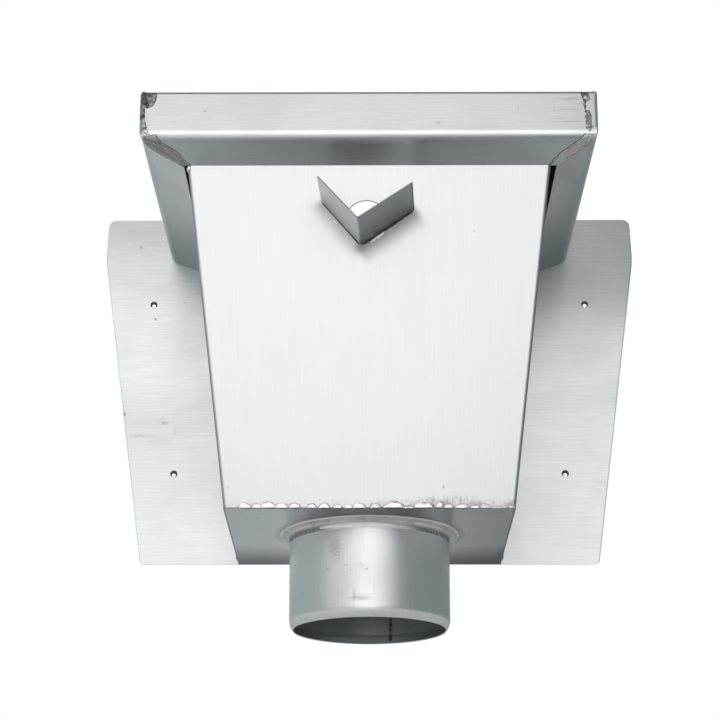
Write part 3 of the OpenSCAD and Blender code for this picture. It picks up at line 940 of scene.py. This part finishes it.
def spout_drops(finish):
    """Short bright runs of solder beside the spout."""
    bm = bmesh.new()
    for side, share, half_length, half_width in SPOUT_DROPS:
        start, end = spout_base(side, 0.0), spout_base(side, 1.0)
        along = (end - start).normalized()
        below = along.cross(PANEL_OUT) * side
        turn = Matrix((along, PANEL_OUT, below)).transposed()
        centre = start.lerp(end, share) + below * (1.9 * MM)
        solder_drop(bm, centre, turn, (half_length * MM, 0.35 * MM, half_width * MM))
    tidy_shell(bm)
    return new_piece("spout_drops", bm, finish)


# Section of a dark ring of painted shade in a hole: distance from the hole's wall, below 0 in the hole, and
# out from the plate, in mm
HOLE_SHADE_SECTION = ((0.15, 0.04), (0.02, 0.06), (-0.95, -0.45), (-0.95, -0.60), (0.15, -0.60))
HOLE_SHADE_EDGE = 0.3 * MM
HOLE_SHADE_SAG = 0.85 * MM


def hole_shade_rings(finish):
    """Dark rings that stand in the fixing holes as their painted shade, thickest at their upper side."""
    bm = bmesh.new()
    for x, z in FIXING_HOLES:
        corners = [(x + FIXING_HOLE_R + r * MM, PLATE_FACE - out * MM, z) for r, out in HOLE_SHADE_SECTION]
        ring = [bm.verts.new(corner) for corner in corners]
        edges = [bm.edges.new((a, b)) for a, b in zip(ring, ring[1:] + ring[:1])]
        middle = Vector((x, 0, z))
        bmesh.ops.spin(
            bm, geom=ring + edges, cent=middle, axis=Y, angle=2 * math.pi, steps=32, use_merge=True)
    tidy_shell(bm)
    reach = FIXING_HOLE_R - HOLE_SHADE_EDGE
    for x, z in FIXING_HOLES:
        inside = [v for v in bm.verts if math.hypot(v.co.x - x, v.co.z - z) < reach]
        bmesh.ops.translate(bm, verts=inside, vec=-Z * HOLE_SHADE_SAG)
    return new_piece("hole_shade_rings", bm, finish)


# Seams of the body and the outlet

PLATE_SEAM_LAPS = (1.3 * MM, 1.1 * MM)
PLATE_SEAM_RISE = 0.25 * MM
FLOOR_SEAM_LAPS = (2.6 * MM, 2.4 * MM)
FLOOR_SEAM_RISE = 0.5 * MM
OUTLET_SEAM_TURN = math.radians(74)
OUTLET_SEAM_LAP = 1.0 * MM
OUTLET_SEAM_RISE = 0.25 * MM


def plate_seams(finish):
    """Seams between the body's sides and the wall plate, outside and inside."""
    foot = WALL_FOOT + 1 * MM
    heads = {"outside": SOFFIT_LOW - 1 * MM, "inside": WALL_HEAD - 2 * MM}
    for side, hand in HANDS.items():
        for place, inset, out in (("outside", 0.0, side), ("inside", SHEET, -side)):
            heights = (foot, heads[place])
            ends = [Vector((side * (wall_half_width(z) - inset), PLATE_FACE, z)) for z in heights]
            laps = (X * (out * PLATE_SEAM_LAPS[0]), Y * -PLATE_SEAM_LAPS[1])
            rise = (X * out - Y) * PLATE_SEAM_RISE
            solder_seam(f"plate_seam_{place}_{hand}", finish, ends, laps, rise, seed=3 * side + inset / MM)


def floor_seams(finish):
    """Seams round the floor inside the body."""
    z = WALL_FOOT
    front = panel_front(z) + SHEET
    half = FLOOR_HALF_W - SHEET
    rear = PLATE_FACE
    runs = {
        "front": (Vector((-half, front, z)), Vector((half, front, z)), Y),
        "rear": (Vector((-half, rear, z)), Vector((half, rear, z)), -Y),
        "left": (Vector((-half, front, z)), Vector((-half, rear, z)), X),
        "right": (Vector((half, front, z)), Vector((half, rear, z)), -X),
    }
    for name, (start, end, inwards) in runs.items():
        laps = (inwards * FLOOR_SEAM_LAPS[0], Z * FLOOR_SEAM_LAPS[1])
        rise = (inwards + Z) * FLOOR_SEAM_RISE
        solder_seam(f"floor_seam_{name}", finish, (start, end), laps, rise, seed=start.x)


def outlet_seams(finishes):
    """The outlet's long seam at its rear, outside and inside, bent in with the outlet's lower end."""
    out = Vector((math.cos(OUTLET_SEAM_TURN), math.sin(OUTLET_SEAM_TURN), 0))
    across = Vector((-out.y, out.x, 0))
    axis = Vector((0, OUTLET_Y, 0))

    def draw_in(place):
        return place - out * (NECK_IN * (max(0.0, NECK_HEAD - place.z) / NECK_LENGTH) ** 2)

    heights = (FLARE_FOOT - 1 * MM, OUTLET_END + 0.6 * MM)
    laps = (across * OUTLET_SEAM_LAP, across * -OUTLET_SEAM_LAP)
    for name, radius, proud in (("outside", OUTLET_R, out), ("inside", OUTLET_R - SHEET, -out)):
        ends = [axis + out * radius + Z * z for z in heights]
        rise = proud * OUTLET_SEAM_RISE
        solder_seam(f"outlet_seam_{name}", finishes[name], ends, laps, rise, radius, draw_in)


# Putting the head together

STREAK_LENGTH = 26 * MM
STREAK_WIDTH = 0.7 * MM

# Solders: dark and light tone, tone of the specks and gloss, then patch size, contrast and metal if they
# differ from the usual
SOLDERS = {
    "dull_solder": ((0.30, 0.29, 0.29), (0.46, 0.455, 0.45), (0.62, 0.61, 0.60), 0.45),
    "bright_solder": ((0.84, 0.83, 0.84), (0.95, 0.95, 0.95), (0.62, 0.60, 0.62), 0.25),
    "pale_solder": ((0.70, 0.68, 0.70), (0.90, 0.89, 0.90), (0.58, 0.55, 0.57), 0.32, 4.0),
    "flux_rims": ((0.50, 0.46, 0.48), (0.74, 0.71, 0.73), (0.82, 0.80, 0.82), 0.45, 3.0),
    "pale_flux_rims": ((0.60, 0.57, 0.59), (0.78, 0.76, 0.77), (0.85, 0.84, 0.85), 0.45),
    # The white solder of the painted highlight at the pipe's root
    "painted_highlight_solder": ((0.86, 0.85, 0.86), (0.95, 0.95, 0.95), (0.80, 0.79, 0.80), 0.5, 9.0, 0.5, 0.3),
    "scorched_solder": ((0.07, 0.08, 0.08), (0.33, 0.34, 0.34), (0.50, 0.52, 0.52), 0.48, 2.8, 1.3),
    "burnt_flux": ((0.05, 0.05, 0.05), (0.16, 0.16, 0.16), (0.30, 0.30, 0.30), 0.5, 3.0),
    "speckled_solder": ((0.30, 0.31, 0.31), (0.75, 0.76, 0.76), (0.12, 0.12, 0.12), 0.35, 2.5, 1.3),
    "flecked_solder": ((0.10, 0.10, 0.10), (0.72, 0.73, 0.73), (0.14, 0.14, 0.14), 0.38, 1.6, 1.4),
}


def dress_sheets():
    """Gives every folded piece its zinc, with the rolling streaks along its own length."""
    along_x = (STREAK_LENGTH, STREAK_WIDTH, STREAK_WIDTH)
    along_y = (STREAK_WIDTH, STREAK_LENGTH, STREAK_WIDTH)
    along_z = (STREAK_WIDTH, STREAK_WIDTH, STREAK_LENGTH)
    finishes = {
        "wall_plate": zinc_sheet(
            "zinc_wall_plate", along_x, on_plate, PLATE_MARKS, PLATE_SCRATCHES, contrast=0.7,
            stains_and_shade=plate_edges_and_painted_shading),
        "body_shell": zinc_sheet(
            "zinc_body", along_z, on_panel, PANEL_MARKS, contrast=0.27, gloss=0.42, handling=0.02, wave=0.01,
            stains_and_shade=panel_stains_and_shade, lean=PANEL_LEAN),
        "floor_plate": zinc_sheet(
            "zinc_floor", along_x, under_floor, FLOOR_MARKS, contrast=0.5, stains_and_shade=floor_stains_and_shade),
        "rim_front": zinc_sheet(
            "zinc_rim_front", along_x, on_band, RIM_MARKS, RIM_SCRATCHES, contrast=0.6,
            stains_and_shade=top_mitre_stains),
        "rim_left": zinc_sheet("zinc_rim_left", along_y, contrast=0.6, stains_and_shade=side_strip_stains_and_shade),
        "rim_right": zinc_sheet("zinc_rim_right", along_y, contrast=0.6, stains_and_shade=side_strip_stains_and_shade),
        "outlet_spigot": zinc_sheet(
            "zinc_outlet", along_z, on_outlet, OUTLET_MARKS, OUTLET_SCRATCHES, contrast=0.5, gloss=0.38,
            stains_and_shade=outlet_inside_shade, worked=drawn_in_end),
        "overflow_spout": zinc_sheet("zinc_spout", along_x, contrast=0.6, stains_and_shade=spout_shade_and_edges),
    }
    for node, finish in finishes.items():
        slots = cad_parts[node].data.materials
        slots.clear()
        slots.append(finish)


def solder_seams():
    """Adds the solder that joins the folded pieces, the white bead that paints the highlight at the pipe's
    root, and the dark rings of painted shade in the fixing holes.
    """
    wiped = {}
    for side, hand in HANDS.items():
        along = Vector((-side * MITRE_RUN[0], *MITRE_RUN[1:])).normalized()
        wiped[side] = drawn_solder(f"wiped_solder_{hand}", along, *MITRE_TONES[side])
    made = {name: solder(name, *looks) for name, looks in SOLDERS.items()}
    dull = made["dull_solder"]
    bright = made["bright_solder"]
    burnt = made["burnt_flux"]

    mitre_solder("mitre_solder_left", LEFT, wiped[LEFT])
    mitre_solder("mitre_solder_right", RIGHT, wiped[RIGHT])
    mitre_solder("mitre_edge_right", RIGHT, burnt, edges=(-1.05, -0.97), rise=0.12 * MM)
    mitre_solder("mitre_ridge_left", LEFT, bright, edges=(-0.84, -0.80), rise=0.42 * MM)
    for name, (side, finish, *shape) in CORNER_SOLDER.items():
        corner_solder(name, side, made[finish], *shape)
    corner_drops(bright)
    front_seam_tacks("front_seam_flux_left", made["pale_flux_rims"], FRONT_TACKS_LEFT, 0.5, 0.12)
    front_seam_tacks("front_seam_flux_right", made["flux_rims"], FRONT_TACKS_RIGHT, 0.7, 0.12)
    front_seam_tacks("front_seam_tacks_left", bright, FRONT_TACKS_LEFT, 0.0, 0.34)
    front_seam_tacks("front_seam_tacks_right", made["pale_solder"], FRONT_TACKS_RIGHT, 0.0, 0.30)
    spout_solder("spout_solder_left", LEFT, burnt, 0.5 * MM)
    spout_solder("spout_solder_right", RIGHT, burnt, 0.9 * MM)
    outlet_solder_ring(outlet_ring_solder("outlet_ring_solder"))
    # A white bead that paints the highlight at the pipe's root
    root_highlight_bead(made["painted_highlight_solder"])
    spout_drops(bright)
    # Pieces of painted shade in the fixing holes
    hole_shade_rings(burnt)
    plate_seams(dull)
    floor_seams(dull)
    outlet_seams({"outside": dull, "inside": made["scorched_solder"]})


# The studio

CARD_TINT = (0.88, 1.0, 1.01)
FLOOR_DROP = 0.75
FLOOR_REACH = 12.0
FLOOR_FADE = (2.2, 6.0)
FLAT_R = 1.9
FLAT_FOOT = -FLOOR_DROP
FLAG_R = 0.75
REAR_R = 0.9
CEILING_Z = 1.4
TABLE_Z = -0.6
LAMP_POWER = 4


def pale_floor():
    """A wide pale floor that fades into the white of the studio far from the head."""
    bm = bmesh.new()
    bmesh.ops.create_grid(bm, x_segments=1, y_segments=1, size=FLOOR_REACH)
    bmesh.ops.translate(bm, verts=bm.verts, vec=-Z * FLOOR_DROP)
    mesh = bpy.data.meshes.new("studio_floor")
    bm.to_mesh(mesh)
    bm.free()
    material, tree, coords = start_finish("pale_floor")
    away = put(tree, "VectorMath", {0: coords}, operation="LENGTH")["Value"]
    pale = put(tree, "BsdfDiffuse", {"Color": (0.80, 0.80, 0.80, 1)})["BSDF"]
    white = put(tree, "Emission", {"Color": (1, 1, 1, 1), "Strength": 1.0})["Emission"]
    surface = put(tree, "MixShader", {0: span(tree, away, *FLOOR_FADE), 1: pale, 2: white})["Shader"]
    put(tree, "OutputMaterial", {"Surface": surface})
    mesh.materials.append(material)
    floor = bpy.data.objects.new("studio_floor", mesh)
    bpy.context.scene.collection.objects.link(floor)


def grey_flat(name, radius, turns, heights, level):
    """A curved grey flat round the head that only the metal's reflections see. Its turns are degrees from
    straight in front, to the right."""
    bm = bmesh.new()
    start = Matrix.Rotation(math.radians(turns[0]), 4, "Z") @ Vector((0, -radius, 0))
    foot, head = (bm.verts.new(start + Z * h) for h in heights)
    edge = bm.edges.new((foot, head))
    sweep = math.radians(turns[1] - turns[0])
    bmesh.ops.spin(bm, geom=[foot, head, edge], cent=(0, 0, 0), axis=Z, angle=sweep, steps=24)
    add_card(name, bm, level)


def grey_card(name, centre, size, level):
    """A flat card, over or under the head, that only the metal's reflections see."""
    bm = bmesh.new()
    bmesh.ops.create_grid(bm, x_segments=1, y_segments=1, size=0.5)
    bmesh.ops.scale(bm, vec=(*size, 1), verts=bm.verts)
    bmesh.ops.translate(bm, vec=centre, verts=bm.verts)
    add_card(name, bm, level)


def add_card(name, bm, level):
    """Sets up a card of the studio with an even tone."""
    mesh = bpy.data.meshes.new(name)
    bm.to_mesh(mesh)
    bm.free()
    material, tree, _ = start_finish(name)
    tone = [level * part for part in CARD_TINT] + [1]
    glow = put(tree, "Emission", {"Color": tone, "Strength": 1.0})["Emission"]
    put(tree, "OutputMaterial", {"Surface": glow})
    mesh.materials.append(material)
    card = bpy.data.objects.new(name, mesh)
    bpy.context.scene.collection.objects.link(card)
    card.visible_camera = False
    card.visible_diffuse = False
    card.visible_shadow = False


def soft_lamp(name, place, aim, size, level):
    """A soft box aimed at a point. Its power grows with its level and its area."""
    data = bpy.data.lights.new(name, "AREA")
    data.shape = "RECTANGLE"
    data.size, data.size_y = size
    data.energy = LAMP_POWER * level * size[0] * size[1]
    lamp = bpy.data.objects.new(name, data)
    bpy.context.scene.collection.objects.link(lamp)
    lamp.location = place
    lamp.rotation_euler = (Vector(aim) - Vector(place)).to_track_quat("-Z", "Y").to_euler()


def white_world(shade_level):
    """White for the eye and for the metal's reflections, softer for the light that falls on dull surfaces."""
    world = bpy.data.worlds.new("white_studio")
    world.use_nodes = True
    bpy.context.scene.world = world
    tree = world.node_tree
    tree.nodes.clear()
    path = put(tree, "LightPath")
    seen = reckon(tree, "MAXIMUM", path["Is Camera Ray"], path["Is Glossy Ray"])
    seen = reckon(tree, "MAXIMUM", seen, path["Is Transmission Ray"])
    soft = put(tree, "Background", {"Color": (1, 1, 1, 1), "Strength": shade_level})["Background"]
    white = put(tree, "Background", {"Color": (1, 1, 1, 1), "Strength": 1.0})["Background"]
    mixed = put(tree, "MixShader", {0: seen, 1: soft, 2: white})["Shader"]
    put(tree, "OutputWorld", {"Surface": mixed})


IMAGE_SIDE = 720
FOCAL_PIXELS = 2180.9
CAMERA_PLACE = (0.0, -1.3992, -0.4160)
CAMERA_PITCH = 17.307
CAMERA_TURN = 0.256


def camera():
    """The photograph's view, from below and straight in front."""
    data = bpy.data.cameras.new("camera")
    data.sensor_width = 36.0
    data.lens = data.sensor_width * FOCAL_PIXELS / IMAGE_SIDE
    made = bpy.data.objects.new("camera", data)
    made.location = CAMERA_PLACE
    made.rotation_euler = (math.radians(90 + CAMERA_PITCH), 0, math.radians(CAMERA_TURN))
    bpy.context.scene.collection.objects.link(made)
    bpy.context.scene.camera = made


def studio():
    """Floor, flats, cards, lamp, world and camera."""
    pale_floor()
    grey_flat("flat_right", FLAT_R, (33, 158), (FLAT_FOOT, CEILING_Z), 0.24)
    grey_flat("flat_left", FLAT_R, (-61, -158), (FLAT_FOOT, CEILING_Z), 0.42)
    grey_flat("flat_low_middle", FLAT_R, (-14, 14), (FLAT_FOOT, -0.60), 0.30)
    grey_flat("flat_low_left", FLAT_R, (-61, -16), (FLAT_FOOT, 0.06), 0.24)
    grey_flat("flat_low_right", FLAT_R, (15, 32), (FLAT_FOOT, 0.08), 0.06)
    grey_flat("flat_high", FLAT_R, (-52, 32), (1.2, CEILING_Z), 0.30)
    grey_flat("flag_right", FLAG_R, (16, 50), (0.27, 0.8), 0.06)
    grey_flat("flag_low_right", FLAG_R, (15, 40), (-0.55, -0.17), 0.05)
    grey_flat("flat_rear_right", REAR_R, (176, 120), (FLAT_FOOT, -0.2), 0.12)
    grey_flat("flat_rear_left", REAR_R, (-176, -120), (FLAT_FOOT, -0.2), 0.36)
    grey_card("ceiling", (0, -0.3, CEILING_Z), (3.8, 3.4), 0.20)
    grey_card("table_middle", (0, -0.29, TABLE_Z), (0.22, 1.2), 0.05)
    grey_card("table_left", (-0.41, -0.25, TABLE_Z), (0.60, 1.3), 0.41)
    grey_card("table_right", (0.41, -0.25, TABLE_Z), (0.60, 1.3), 0.35)
    grey_card("apron_right", (0.50, -1.35, -0.70), (0.9, 0.9), 0.04)
    soft_lamp("front_box", (-0.05, -2.1, -0.17), (0, 0, -0.17), (2.6, 1.1), 0.54)
    white_world(0.8)
    camera()
    bpy.context.scene.view_settings.view_transform = "Standard"


dress_sheets()
solder_seams()
studio()
